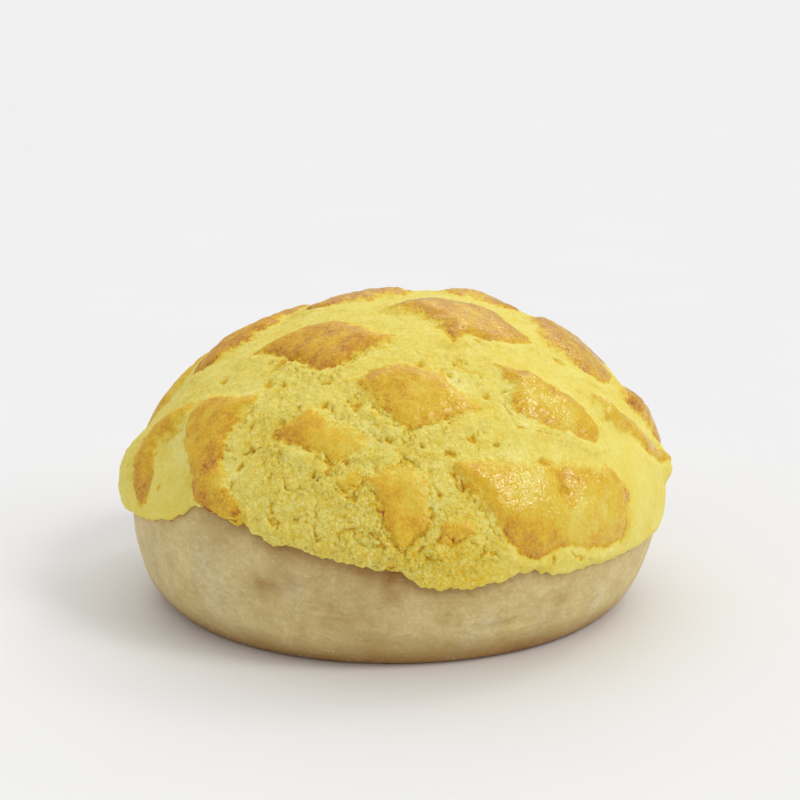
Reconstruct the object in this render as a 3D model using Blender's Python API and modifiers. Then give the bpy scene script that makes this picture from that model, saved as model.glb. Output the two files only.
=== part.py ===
"""Pineapple bun: a soft bread body under a scored and glazed sugar crust.

Metres, +Z up. The origin is on the flat foot, below the middle of the bun's width and depth.
The dome is laid out on a flat chart in millimetres: a point's distance from the chart's middle
is its way down from the top of the dome, and its direction is its bearing round the bun.
"""

import math

import bmesh
import bpy
import numpy as np
from mathutils import Vector, noise

MM = 0.001

# Where each noise starts, so that the waves, crags and rim don't repeat one another
SKIN_SEED = 3.7
CRAG_SEED = 0.0
RIM_SEED = 11.3

# Half the stretch of section, in millimetres, whose slope gives the form's outward direction
SLOPE_STEP = 0.4

# Mean outer form of the bun, in millimetres
WIDEST_RADIUS = 50.7
WIDEST_HEIGHT = 21.3
FOOT_RADIUS = 41.5
TOP_HEIGHT = 57.0
DOME_FULLNESS = 1.86
UNDERSIDE_FULLNESS = 1.57
LEAN = 2.8
BOX_MIDDLE = (0.5, -0.3)

# Bread: how deep its skin lies under the mean form, by the way down from the top,
# its slow waves, and its bulges: middle (a, b), radius, height
SKIN_DEPTH_AT = (0.0, 46.0, 62.0, 74.0, 84.0, 91.5)
SKIN_DEPTH = (3.6, 3.4, 2.0, 0.8, 0.1, 0.0)
SKIN_WAVE = 0.4
SKIN_WAVE_LENGTH = 21.0
SKIN_WAVES_FROM = (50.0, 66.0)
SKIN_WAVES_TO = (80.0, 90.0)
SKIN_BULGES = (
    (72.0, -20.0, 18.0, 0.5),
    (-84.0, -14.0, 11.0, 0.5),
)
BREAD_SEGMENTS = 60
BREAD_RINGS = 22
HIDDEN_RINGS = 9
HIDDEN_WAY = 58.0

# Crust: valleys between the pads, pads, and the rounded lip at its rim
CLEARANCE = 0.3
VALLEY_RELIEF = -1.2
PAD_RELIEF = 1.7
PAD_EDGE = 2.8
PAD_SQUARENESS = 1.7
RIM_SWELL = 1.25
RIM_SWELL_START = 44.0
LIP_WIDTH = 4.2
LIP_THICKNESS = 0.9
CRAG_RELIEF = 0.3
CRAG_SIZE = 6.0
LEAST_THICKNESS = 1.5
CRUST_GRID = 48
RIM_CROWDING = 0.15

# Rim of the crust: bearing in degrees, and the way down from the top in millimetres
RIM = (
    (0, 72), (40, 70), (75, 73), (110, 70), (150, 73), (180, 71), (198, 70), (210, 68.5),
    (217, 67), (223, 63), (231, 62), (243, 65.6), (252, 66.3), (261, 67.8), (270, 69.2),
    (274, 71.5), (279, 73), (287, 73.4), (293, 72.3), (303, 71.8), (313, 73), (346, 72),
)
RIM_RAGGED = 0.6
RIM_RAG_SIZE = 6.0

# Pads on the shown side: middle (a, b), half length, half width, turn in degrees
SHOWN_PADS = (
    (2.5, -37.5, 13.5, 7.8, -4),
    (28.5, -31.0, 14.0, 7.8, 8),
    (-15.0, -20.0, 14.5, 8.0, -14),
    (10.5, -14.0, 14.0, 8.2, -4),
    (-15.5, -43.5, 11.5, 6.6, -16),
    (-34.5, -30.0, 9.0, 12.0, 18),
    (24.5, -53.0, 15.5, 8.6, 4),
    (45.5, -44.5, 9.0, 9.5, 38),
    (0.0, -58.0, 5.6, 8.2, 0),
    (-55.0, -22.5, 9.0, 7.0, 30),
    (-34.0, -1.0, 11.5, 8.5, 12),
    (-12.5, 4.0, 10.5, 7.5, 4),
    (31.0, -5.5, 12.5, 8.5, 4),
    (48.5, -18.5, 13.0, 7.5, 22),
    (14.0, 9.5, 11.0, 7.5, 4),
)

# The pads go on round the back on a slanted lattice, each a little off its place
LATTICE_ORIGIN = (2.0, -34.0)
LATTICE_ALONG = (24.0, 6.5)
LATTICE_ACROSS = (18.0, -16.0)
LATTICE_PAD = (12.0, 8.0, -8)
LATTICE_LOW = 12.0
LATTICE_REACH = 62.0
LATTICE_SHIFT = 2.2
LATTICE_SEED = 7

# Rises and dents of the crust: middle (a, b), radius, height
UNEVEN = (
    (-51.0, 2.0, 9.0, -2.6),
    (60.0, -6.0, 4.5, 1.5),
    (-52.0, -38.0, 9.0, -0.9),
    (34.0, -46.0, 4.5, -0.8),
    (-6.0, -50.0, 7.0, -0.4),
    (52.0, -30.0, 8.0, 0.5),
    (16.0, 9.0, 9.0, -1.1),
    (68.0, -3.0, 8.0, -1.0),
    (-63.0, -6.0, 7.0, 0.8),
)

CRUST_COLOUR = (0.80, 0.62, 0.13, 1.0)
CRUST_ROUGHNESS = 0.5
BREAD_COLOUR = (0.66, 0.50, 0.29, 1.0)
BREAD_ROUGHNESS = 0.7


def smooth_step(low, high, value):
    """0 below low, 1 above high, and a smooth rise between them."""
    t = np.clip((value - low) / (high - low), 0.0, 1.0)
    return t * t * (3.0 - 2.0 * t)


def mean_profile(steps=2000):
    """Radius, height and way down from the top of the mean form, along its section."""
    t = np.linspace(0.0, math.pi / 2, steps)
    cos, sin = np.cos(t), np.sin(t)
    dome_r = WIDEST_RADIUS * cos ** (2 / DOME_FULLNESS)
    dome_z = WIDEST_HEIGHT + (TOP_HEIGHT - WIDEST_HEIGHT) * sin ** (2 / DOME_FULLNESS)
    under_r = FOOT_RADIUS + (WIDEST_RADIUS - FOOT_RADIUS) * cos ** (2 / UNDERSIDE_FULLNESS)
    under_z = WIDEST_HEIGHT * (1.0 - sin ** (2 / UNDERSIDE_FULLNESS))
    radius = np.concatenate([dome_r[::-1], under_r[1:]])
    height = np.concatenate([dome_z[::-1], under_z[1:]])
    steps_long = np.hypot(np.diff(radius), np.diff(height))
    return radius, height, np.concatenate([[0.0], np.cumsum(steps_long)])


PROFILE_R, PROFILE_Z, PROFILE_WAY = mean_profile()
WHOLE_WAY = PROFILE_WAY[-1]


def on_form(way, bearing, over):
    """Points in metres that lie the given height over the mean form."""
    radius = np.interp(way, PROFILE_WAY, PROFILE_R)
    height = np.interp(way, PROFILE_WAY, PROFILE_Z)
    before = np.clip(way - SLOPE_STEP, 0.0, WHOLE_WAY)
    after = np.clip(way + SLOPE_STEP, 0.0, WHOLE_WAY)
    run_r = np.interp(after, PROFILE_WAY, PROFILE_R) - np.interp(before, PROFILE_WAY, PROFILE_R)
    run_z = np.interp(after, PROFILE_WAY, PROFILE_Z) - np.interp(before, PROFILE_WAY, PROFILE_Z)
    length = np.hypot(run_r, run_z)
    radius = radius - over * run_z / length
    height = height + over * run_r / length
    x = radius * np.cos(bearing) + LEAN * (height / TOP_HEIGHT) ** 2 - BOX_MIDDLE[0]
    y = radius * np.sin(bearing) - BOX_MIDDLE[1]
    return np.column_stack([x, y, height]) * MM


def field(points, size, seed):
    """Smooth noise between -1 and 1 at the given points, with waves of the given size."""
    return np.array([noise.noise(Vector(point) / size + Vector((seed, 0.0, 0.0))) for point in points])


def chart_points(way, bearing):
    """Chart places as three-component rows, for the noise."""
    return np.column_stack([way * np.cos(bearing), way * np.sin(bearing), np.zeros_like(way)])


def mounds(a, b, places):
    """Round rises or dents, each with its middle (a, b), radius and height."""
    height = np.zeros_like(a)
    for middle_a, middle_b, radius, rise in places:
        distance = np.hypot(a - middle_a, b - middle_b) / radius
        height = height + rise * np.exp(-distance * distance)
    return height


def skin_depth(way, bearing):
    """How deep the bread's skin lies under the mean form: by the way down, with slow waves."""
    depth = np.interp(way, SKIN_DEPTH_AT, SKIN_DEPTH)
    fade = smooth_step(*SKIN_WAVES_FROM, way) * (1.0 - smooth_step(*SKIN_WAVES_TO, way))
    depth = depth + SKIN_WAVE * fade * field(chart_points(way, bearing), SKIN_WAVE_LENGTH, SKIN_SEED)
    return depth - mounds(way * np.cos(bearing), way * np.sin(bearing), SKIN_BULGES)


def rim_way(bearing):
    """The crust's reach down the bun at each bearing, with a ragged edge."""
    degrees = np.degrees(bearing) % 360.0
    places = np.array(RIM, dtype=float)
    reach = np.interp(degrees, places[:, 0], places[:, 1], period=360.0)
    ring = np.column_stack([np.cos(bearing), np.sin(bearing), np.zeros_like(bearing)]) * WIDEST_RADIUS
    return reach + RIM_RAGGED * field(ring, RIM_RAG_SIZE, RIM_SEED)


def all_pads():
    """The shown pads, and the lattice's pads behind them."""
    draw = np.random.default_rng(LATTICE_SEED)
    pads = list(SHOWN_PADS)
    half_length, half_width, turn = LATTICE_PAD
    for i in range(-6, 7):
        for j in range(-6, 7):
            a = LATTICE_ORIGIN[0] + i * LATTICE_ALONG[0] + j * LATTICE_ACROSS[0]
            b = LATTICE_ORIGIN[1] + i * LATTICE_ALONG[1] + j * LATTICE_ACROSS[1]
            if b > LATTICE_LOW and math.hypot(a, b) < LATTICE_REACH:
                shift = draw.uniform(-LATTICE_SHIFT, LATTICE_SHIFT, 3)
                pads.append((a + shift[0], b + shift[1], half_length, half_width, turn + 3 * shift[2]))
    return pads


def pad_height(a, b):
    """1 on a pad, 0 in the valleys: each pad is a lozenge with rounded corners and a soft edge."""
    height = np.zeros_like(a)
    for middle_a, middle_b, half_length, half_width, turn in all_pads():
        cos, sin = math.cos(math.radians(turn)), math.sin(math.radians(turn))
        along = (a - middle_a) * cos + (b - middle_b) * sin
        across = (b - middle_b) * cos - (a - middle_a) * sin
        reach = np.abs(along / half_length) ** PAD_SQUARENESS + np.abs(across / half_width) ** PAD_SQUARENESS
        inside = (1.0 - reach ** (1 / PAD_SQUARENESS)) * half_width
        height = np.maximum(height, smooth_step(-0.3 * PAD_EDGE, 0.7 * PAD_EDGE, inside))
    return height


def crust_over(way, bearing):
    """Height of the crust's top over the mean form."""
    a, b = way * np.cos(bearing), way * np.sin(bearing)
    over = VALLEY_RELIEF + PAD_RELIEF * pad_height(a, b)
    over = over + RIM_SWELL * smooth_step(RIM_SWELL_START, WIDEST_RADIUS + WIDEST_HEIGHT, way)
    over = over + mounds(a, b, UNEVEN)
    return over + CRAG_RELIEF * field(chart_points(way, bearing), CRAG_SIZE, CRAG_SEED)


def crust_thickness(way, bearing, rim):
    """Crust between its underside and its top, thinned to a round lip at the rim."""
    whole = crust_over(way, bearing) + skin_depth(way, bearing) - CLEARANCE
    whole = np.maximum(whole, LEAST_THICKNESS)
    to_rim = np.clip((rim - way) / LIP_WIDTH, 0.0, 1.0)
    rounding = np.sqrt(1.0 - (1.0 - to_rim) ** 2)
    return LIP_THICKNESS + (whole - LIP_THICKNESS) * rounding


def read_points(mesh):
    """A mesh's points as an array."""
    flat = np.empty(len(mesh.vertices) * 3)
    mesh.vertices.foreach_get("co", flat)
    return flat.reshape(-1, 3)


def write_points(mesh, points):
    """Puts an array of points back into the mesh."""
    mesh.vertices.foreach_set("co", points.ravel())
    mesh.update()


def add_object(name, mesh, collection, colour, roughness):
    """One named part with its own material, shaded smooth."""
    material = bpy.data.materials.new(name)
    material.use_nodes = True
    shader = material.node_tree.nodes["Principled BSDF"]
    shader.inputs["Base Color"].default_value = colour
    shader.inputs["Roughness"].default_value = roughness
    mesh.materials.append(material)
    mesh.shade_smooth()
    part = bpy.data.objects.new(name, mesh)
    collection.objects.link(part)
    return part


def make_bread(collection):
    """The bread: a ball whose rings are laid on its skin, the last one round the flat foot."""
    shape = bmesh.new()
    bmesh.ops.create_uvsphere(shape, u_segments=BREAD_SEGMENTS, v_segments=BREAD_RINGS, radius=1.0)
    mesh = bpy.data.meshes.new("bread_body")
    shape.to_mesh(mesh)
    shape.free()
    ball = read_points(mesh)
    ring = np.arccos(np.clip(ball[:, 2], -1.0, 1.0)) / math.pi * BREAD_RINGS
    bearing = np.arctan2(ball[:, 1], ball[:, 0])
    way = np.interp(ring, (0, HIDDEN_RINGS, BREAD_RINGS - 1), (0.0, HIDDEN_WAY, WHOLE_WAY))
    points = on_form(way, bearing, -skin_depth(way, bearing))
    on_foot = ring > BREAD_RINGS - 1.5
    points[on_foot, 2] = 0.0
    foot_middle = ring > BREAD_RINGS - 0.5
    points[foot_middle] = (-BOX_MIDDLE[0] * MM, -BOX_MIDDLE[1] * MM, 0.0)
    write_points(mesh, points)
    return add_object("bread_body", mesh, collection, BREAD_COLOUR, BREAD_ROUGHNESS)


def split_corner_faces(shape):
    """Cuts the square's diagonal faces outwards from the middle, so that none goes flat on the disc."""
    for face in list(shape.faces):
        middle = face.calc_center_median()
        if abs(abs(middle.x) - abs(middle.y)) < 0.1 / CRUST_GRID:
            corners = sorted(face.verts, key=lambda corner: corner.co.length)
            bmesh.utils.face_split(face, corners[0], corners[-1])


def make_crust(collection):
    """The crust: a round sheet laid just over the bread's skin, thickened outwards by its relief."""
    shape = bmesh.new()
    bmesh.ops.create_grid(shape, x_segments=CRUST_GRID, y_segments=CRUST_GRID, size=1.0)
    split_corner_faces(shape)
    mesh = bpy.data.meshes.new("sugar_crust")
    shape.to_mesh(mesh)
    shape.free()
    square = read_points(mesh)
    x, y = square[:, 0], square[:, 1]
    wide = np.abs(x) > np.abs(y)
    across = np.where(wide, x, y)
    ratio = np.where(wide, y, x) / np.where(across == 0.0, 1.0, across)
    turned = ratio * math.pi / 4
    disc_x = across * np.where(wide, np.cos(turned), np.sin(turned))
    disc_y = across * np.where(wide, np.sin(turned), np.cos(turned))
    out = np.hypot(disc_x, disc_y)
    bearing = np.arctan2(disc_y, disc_x)
    rim = rim_way(bearing)
    way = rim * out * (1.0 + RIM_CROWDING * (1.0 - out ** 4))
    write_points(mesh, on_form(way, bearing, CLEARANCE - skin_depth(way, bearing)))
    crust = add_object("sugar_crust", mesh, collection, CRUST_COLOUR, CRUST_ROUGHNESS)

    thickness = crust_thickness(way, bearing, rim)
    thickest = float(thickness.max())
    group = crust.vertex_groups.new(name="thickness")
    for index, value in enumerate(thickness / thickest):
        group.add([index], float(value), "REPLACE")
    solidify = crust.modifiers.new("crust", "SOLIDIFY")
    solidify.thickness = thickest * MM
    solidify.offset = 1.0
    solidify.vertex_group = group.name
    return crust


def main():
    """Empties the scene and builds both parts."""
    for leftover in list(bpy.data.objects):
        bpy.data.objects.remove(leftover, do_unlink=True)
    bun = bpy.data.collections.new("pineapple_bun")
    bpy.context.scene.collection.children.link(bun)
    make_bread(bun)
    make_crust(bun)


main()
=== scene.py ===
import itertools
import math

import bpy
import numpy as np
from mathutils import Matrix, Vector


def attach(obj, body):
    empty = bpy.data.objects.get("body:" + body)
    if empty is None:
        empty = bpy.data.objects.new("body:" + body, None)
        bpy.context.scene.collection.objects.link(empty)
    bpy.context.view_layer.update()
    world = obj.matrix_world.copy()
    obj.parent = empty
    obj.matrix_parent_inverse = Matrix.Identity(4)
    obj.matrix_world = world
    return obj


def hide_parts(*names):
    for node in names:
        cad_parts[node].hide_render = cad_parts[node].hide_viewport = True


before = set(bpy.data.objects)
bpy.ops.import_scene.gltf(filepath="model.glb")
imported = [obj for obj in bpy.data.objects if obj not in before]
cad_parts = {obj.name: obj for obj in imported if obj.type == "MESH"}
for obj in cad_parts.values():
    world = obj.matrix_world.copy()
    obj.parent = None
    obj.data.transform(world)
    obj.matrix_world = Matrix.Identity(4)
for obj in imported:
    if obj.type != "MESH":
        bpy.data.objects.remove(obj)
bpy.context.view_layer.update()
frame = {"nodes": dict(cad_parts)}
bpy.context.scene.view_settings.view_transform = "Standard"
print("frame loaded:", ", ".join(frame["nodes"]))

mm = 0.001

# The bun's mean form in millimetres, as the solids have it. The dome is laid out flat as a chart:
# a place (a, b) is its way down from the top, turned to its bearing. -b is the front.
bunForm = {
    "widestRadius": 50.7,
    "widestHeight": 21.3,
    "footRadius": 41.5,
    "topHeight": 57.0,
    "domeFullness": 1.86,
    "undersideFullness": 1.57,
    "lean": 2.8,
    "boxMiddle": (0.5, -0.3),
    "skinDepthAt": (0.0, 46.0, 62.0, 74.0, 84.0, 91.5),
    "skinDepth": (3.6, 3.4, 2.0, 0.8, 0.1, 0.0),
    "skinBulges": ((72.0, -20.0, 18.0, 0.5), (-84.0, -14.0, 11.0, 0.5)),
    "slopeStep": 0.3,
}


def smoothStep(low, high, value):
    # 0 below low, 1 above high, and 3t^2 - 2t^3 between them
    t = np.clip((value - low) / (high - low), 0.0, 1.0)
    return t * t * (3.0 - 2.0 * t)


def meanProfile(steps=3000):
    # section of the bun: above the widest place r = R cos(t)^(2/n), z = zR + (H - zR) sin(t)^(2/n),
    # below it r = foot + (R - foot) cos(t)^(2/m), z = zR (1 - sin(t)^(2/m)); the way is their summed length
    t = np.linspace(0.0, math.pi / 2, steps)
    c, s = np.cos(t), np.sin(t)
    wide, high, foot = bunForm["widestRadius"], bunForm["widestHeight"], bunForm["footRadius"]
    domePower, underPower = 2 / bunForm["domeFullness"], 2 / bunForm["undersideFullness"]
    domeR = wide * c ** domePower
    domeZ = high + (bunForm["topHeight"] - high) * s ** domePower
    underR = foot + (wide - foot) * c ** underPower
    underZ = high * (1.0 - s ** underPower)
    radius = np.concatenate([domeR[::-1], underR[1:]])
    height = np.concatenate([domeZ[::-1], underZ[1:]])
    return radius, height, np.concatenate([[0.0], np.cumsum(np.hypot(np.diff(radius), np.diff(height)))])


profileR, profileZ, profileWay = meanProfile()
wholeWay = profileWay[-1]


def onForm(way, bearing, over):
    # the section's point at this way, moved outwards by over along its normal (-dz, dr), turned to the
    # bearing, and leant by x += lean (z / H)^2; millimetres
    radius, height = np.interp(way, profileWay, profileR), np.interp(way, profileWay, profileZ)
    before = np.clip(way - bunForm["slopeStep"], 0.0, wholeWay)
    after = np.clip(way + bunForm["slopeStep"], 0.0, wholeWay)
    runR = np.interp(after, profileWay, profileR) - np.interp(before, profileWay, profileR)
    runZ = np.interp(after, profileWay, profileZ) - np.interp(before, profileWay, profileZ)
    run = np.hypot(runR, runZ)
    radius = radius - over * runZ / run
    height = height + over * runR / run
    x = radius * np.cos(bearing) + bunForm["lean"] * (height / bunForm["topHeight"]) ** 2
    y = radius * np.sin(bearing)
    return np.stack([x - bunForm["boxMiddle"][0], y - bunForm["boxMiddle"][1], height], -1)


gradientWays = np.array([
    (1, 1, 0), (-1, 1, 0), (1, -1, 0), (-1, -1, 0), (1, 0, 1), (-1, 0, 1),
    (1, 0, -1), (-1, 0, -1), (0, 1, 1), (0, -1, 1), (0, 1, -1), (0, -1, -1),
], dtype=float)
hashPrimes = (73856093, 19349663, 83492791)
hashSeed, hashMix, hashMask = 2654435761, 0x45d9f3b, 0xffffffff


def cellHash(cell, seed):
    # a whole-numbered cell as a number from 0 to 1: each axis times its prime, joined by exclusive or,
    # then mixed twice by h = (h ^ h >> 16) * mix
    c = cell.astype(np.int64)
    h = (c[..., 0] * hashPrimes[0]) ^ (c[..., 1] * hashPrimes[1]) ^ (c[..., 2] * hashPrimes[2])
    h = (h ^ (seed * hashSeed)) & hashMask
    for _ in range(2):
        h = ((h ^ (h >> 16)) * hashMix) & hashMask
    return (h ^ (h >> 16)) / float(hashMask)


def softNoise(points, size, seed):
    # gradient noise, about -1 to 1: at each corner of a point's cell a hashed direction is dotted with the
    # way from that corner, and the eight are blended by 6t^5 - 15t^4 + 10t^3
    p = points / size
    base = np.floor(p)
    t = p - base
    blend = t * t * t * (t * (t * 6.0 - 15.0) + 10.0)
    total = np.zeros(len(points))
    for corner in itertools.product((0, 1), repeat=3):
        corner = np.array(corner)
        direction = gradientWays[np.minimum((cellHash(base + corner, seed) * 12).astype(int), 11)]
        weight = np.prod(np.where(corner == 1, blend, 1.0 - blend), axis=-1)
        total += weight * np.sum(direction * (t - corner), axis=-1)
    return total


def cellNoise(points, size, seed):
    # one hashed spot in each cell: the distances to the nearest and the second nearest, in cells, the
    # nearest one's own number from 0 to 1, and a tilt: the way from that spot dotted with its own direction
    p = points / size
    base = np.floor(p)
    nearest, second = np.full(len(p), 9.0), np.full(len(p), 9.0)
    home, fromSpot = np.zeros_like(p), np.zeros_like(p)
    for offset in itertools.product((-1, 0, 1), repeat=3):
        cell = base + np.array(offset)
        spot = cell + np.stack([cellHash(cell, seed + k) for k in range(3)], -1)
        far = np.linalg.norm(spot - p, axis=-1)
        closer = far < nearest
        second = np.where(closer, nearest, np.minimum(second, far))
        home = np.where(closer[:, None], cell, home)
        fromSpot = np.where(closer[:, None], p - spot, fromSpot)
        nearest = np.where(closer, far, nearest)
    lean = np.stack([cellHash(home, seed + 4 + k) * 2.0 - 1.0 for k in range(3)], -1)
    return nearest, second, cellHash(home, seed + 3), np.sum(fromSpot * lean, axis=-1)


def waves(points, layers):
    # sum of height * gradient noise over layers (height, size, seed)
    return sum(height * softNoise(points, size, seed) for height, size, seed in layers)


def lineDistance(a, b, line):
    # distance to the nearest stretch of an open line
    nearest = np.full(a.shape, 1e9)
    for (a0, b0), (a1, b1) in zip(line[:-1], line[1:]):
        da, db = a1 - a0, b1 - b0
        t = np.clip(((a - a0) * da + (b - b0) * db) / (da * da + db * db), 0.0, 1.0)
        nearest = np.minimum(nearest, np.hypot(a - a0 - t * da, b - b0 - t * db))
    return nearest


def outlineDistance(a, b, corners):
    # distance to the nearest edge of a closed outline, positive inside it, where a line from the point
    # crosses the edges an odd number of times
    inside = np.zeros(a.shape, bool)
    for (a0, b0), (a1, b1) in zip(corners, corners[1:] + corners[:1]):
        inside ^= ((b0 > b) != (b1 > b)) & (a < a0 + (b - b0) * (a1 - a0) / ((b1 - b0) or 1e-9))
    nearest = lineDistance(a, b, corners + corners[:1])
    return np.where(inside, nearest, -nearest)


def mounds(a, b, places):
    # sum of rise * exp(-(distance / radius)^2) over places (a, b, radius, rise)
    height = np.zeros(a.shape)
    for middleA, middleB, radius, rise in places:
        height = height + rise * np.exp(-((a - middleA) ** 2 + (b - middleB) ** 2) / radius ** 2)
    return height


def skinDepth(way, bearing):
    # how deep the bread's skin lies under the mean form
    depth = np.interp(way, bunForm["skinDepthAt"], bunForm["skinDepth"])
    return depth - mounds(way * np.cos(bearing), way * np.sin(bearing), bunForm["skinBulges"])


# Glazed pads of the crust: outline in the chart, how far they are baked, and how that changes for each
# 10 mm along a and b
padShapes = {
    "middle": ([
        (-10.8, -32.4), (-8, -30.8), (-5.6, -29.4), (-0.8, -28.8), (3.6, -29.6), (7.2, -30.8),
        (10.4, -33.2), (13.2, -35.2), (14.6, -37.6), (11.6, -39.6), (8, -41.6), (5.2, -43.2), (2, -44),
        (-0.4, -42.4), (-3.2, -40), (-6.4, -36.8),
    ], 0.52, (-0.06, 0.04)),
    "rightMiddle": ([
        (15.5, -26), (19.6, -25.2), (23.6, -24.4), (27.6, -24.8), (32, -25.2), (35.6, -26), (38.4, -28),
        (40.6, -31.2), (38.8, -33.6), (34, -35), (29.6, -36), (25.2, -37), (22, -36.6), (20.4, -34),
        (19.2, -30.8), (17.6, -28),
    ], 0.52, (-0.02, 0.06)),
    "leftHigh": ([
        (-29, -14), (-24.5, -11.5), (-18.8, -10.4), (-13, -11.5), (-6.8, -16.4), (-1, -20.8),
        (-2.8, -22.8), (-6.4, -24.8), (-12.8, -27.3), (-15.6, -27.6), (-18.4, -24), (-22.4, -19.5),
        (-26.4, -15.8),
    ], 0.62, (-0.04, -0.03)),
    "rightHigh": ([
        (-4.8, -8.5), (-0.5, -5), (5, -3), (12, -2.5), (17.6, -4), (20.4, -8.8), (24, -12.8),
        (20.4, -16.8), (15.2, -18), (11.6, -17.6), (8.8, -20.4), (6, -16.4), (4, -14), (-0.4, -11.6),
    ], 0.6, (-0.05, 0)),
    "leftMiddle": ([
        (-25.6, -40), (-22.8, -38.8), (-20, -38), (-17.6, -36.4), (-15.2, -38), (-12.4, -40.8),
        (-9.6, -42.8), (-6, -45.2), (-5.2, -47.2), (-8.4, -48), (-11.2, -48.8), (-13.2, -50), (-14, -48),
        (-16, -46.4), (-18.8, -44.8), (-22.8, -42.4),
    ], 0.46, (-0.14, 0.02)),
    "leftRidge": ([
        (-38.4, -20.4), (-34, -23.6), (-30, -26.8), (-26.4, -29.2), (-27.6, -32), (-30.8, -32.8),
        (-32.4, -34.4), (-33.2, -37.2), (-34.8, -39.6), (-37.6, -40), (-39.6, -39.5), (-42.6, -38),
        (-43.6, -34), (-43.8, -28), (-43.4, -21),
    ], 0.56, (-0.02, 0)),
    "leftFoot": ([
        (-43.6, -33.5), (-40, -34.5), (-36, -36.5), (-35, -41), (-34, -45.2), (-32.8, -48.8),
        (-32.4, -52), (-34.4, -53.2), (-36.8, -51.6), (-40, -47.6), (-43, -44),
    ], 0.62, (-0.1, -0.02)),
    "rightLow": ([
        (9.6, -49.8), (13.2, -48.4), (17.2, -47.6), (23.2, -45.6), (28.4, -44), (34, -41.4), (39.6, -38),
        (43.6, -35.6), (46.8, -35.2), (49.6, -36.4), (51.6, -39.2), (53.6, -42), (54.4, -44.8),
        (48.8, -49.6), (43.2, -53.2), (37.6, -56.4), (34.4, -59.2), (32, -60.8), (28.4, -61.2),
        (24.4, -60), (20.8, -58.8), (17.6, -56.8), (14, -54.4), (11.6, -52),
    ], 0.5, (0, -0.08)),
    "frontLow": ([
        (-6.6, -52.4), (-2, -50.8), (2, -51), (4.4, -52), (6, -54.4), (7.2, -56.8), (7.2, -59.6),
        (6, -62), (4, -64.4), (2, -66.5), (0, -64.8), (-2.8, -62), (-4.4, -58.8), (-5, -55.6),
    ], 0.42, (-0.1, -0.06)),
    "frontSmall": ([
        (8.8, -60), (11.6, -58.4), (14.4, -58), (17.2, -59.6), (16.8, -61.2), (14.4, -62.4),
        (11.6, -64.4), (8.4, -64),
    ], 0.44, (0, -0.05)),
    "frontPatch": ([
        (-12.8, -52.4), (-9.2, -51.4), (-6.4, -52.8), (-8.2, -54.6), (-11, -54.6),
    ], 0.36, (0, 0)),
    "leftBand": ([
        (-60.5, -29.5), (-59.6, -24.5), (-57.5, -18), (-54.4, -14.5), (-50, -13.5), (-46, -15),
        (-43, -17.5), (-40.5, -20), (-42.8, -22.5), (-44.8, -23.6), (-48, -23), (-51, -22.5), (-53, -25),
        (-54.4, -28.4), (-57.4, -31),
    ], 0.54, (-0.06, 0)),
    "leftBack": ([
        (-44, 0), (-40.4, -6), (-36, -7), (-30, -4.4), (-24.5, -1.5), (-22.5, 5), (-29.6, 9.5), (-38, 8),
    ], 0.7, (0, -0.04)),
    "topLeft": ([
        (-21, 3), (-14, 0), (-6, -0.5), (-1, 1.5), (1.6, 7), (-6, 10.5), (-16, 10),
    ], 0.66, (-0.03, 0)),
    "topRight": ([
        (5, 7), (10, 4.5), (18, 4), (24, 8), (20, 12.5), (11, 12.5),
    ], 0.6, (0, 0)),
    "rightBack": ([
        (23, -1), (26, -8), (29.6, -12), (33.2, -13.5), (38, -14.5), (42.5, -10), (43, -2), (38.4, 6.4),
        (31, 8), (25, 5),
    ], 0.6, (-0.04, 0)),
    "rightSide": ([
        (36.4, -20), (41, -18.6), (45, -18.2), (50.4, -15.8), (55, -13.5), (60, -9), (62, -9.5),
        (59, -15.5), (54.4, -20.4), (49.2, -22.8), (44, -25.6), (39.2, -26),
    ], 0.44, (0.03, 0)),
    "rightRim": ([
        (44, -9.5), (47, -12), (51, -11), (57, -7), (62, -6.5), (66, -6), (66.5, 0), (60, 3), (52, 1),
        (46, -3),
    ], 0.62, (0, 0)),
}

# The pads go on round the back on the scored lattice
padLattice = {
    "origin": (2.0, -34.0),
    "along": (24.0, 6.5),
    "across": (18.0, -16.0),
    "halfLength": 14.0,
    "halfWidth": 9.6,
    "turn": -8.0,
    "squareness": 1.35,
    "corners": 12,
    "from": 12.0,
    "reach": 62.0,
    "shift": 2.2,
    "ragged": 0.08,
    "bake": (0.46, 0.66),
    "seed": 7,
}


def latticePads():
    # a lozenge (|u|/L)^n + (|v|/W)^n = 1 at each lattice place behind the shown pads, its corners pulled
    # in or out at random, its bake and the bake's change drawn too
    draw = np.random.default_rng(padLattice["seed"])
    shaping = np.random.default_rng(padLattice["seed"] + 1)
    along, across, origin = (np.array(padLattice[key]) for key in ("along", "across", "origin"))
    power = 2 / padLattice["squareness"]
    angle = np.arange(padLattice["corners"]) * 2 * math.pi / padLattice["corners"]
    pads = []
    for i, j in itertools.product(range(-6, 7), repeat=2):
        place = origin + i * along + j * across
        if place[1] <= padLattice["from"] or np.hypot(*place) >= padLattice["reach"]:
            continue
        shift = draw.uniform(-padLattice["shift"], padLattice["shift"], 3)
        turn = math.radians(padLattice["turn"] + 3 * shift[2])
        ragged = 1.0 + padLattice["ragged"] * shaping.uniform(-1.0, 1.0, len(angle))
        u = padLattice["halfLength"] * ragged * np.sign(np.cos(angle)) * np.abs(np.cos(angle)) ** power
        v = padLattice["halfWidth"] * ragged * np.sign(np.sin(angle)) * np.abs(np.sin(angle)) ** power
        cornerA = place[0] + shift[0] + u * math.cos(turn) - v * math.sin(turn)
        cornerB = place[1] + shift[1] + u * math.sin(turn) + v * math.cos(turn)
        bake = shaping.uniform(*padLattice["bake"])
        pads.append((list(zip(cornerA, cornerB)), bake, tuple(shaping.uniform(-0.12, 0.12, 2))))
    return pads


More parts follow.
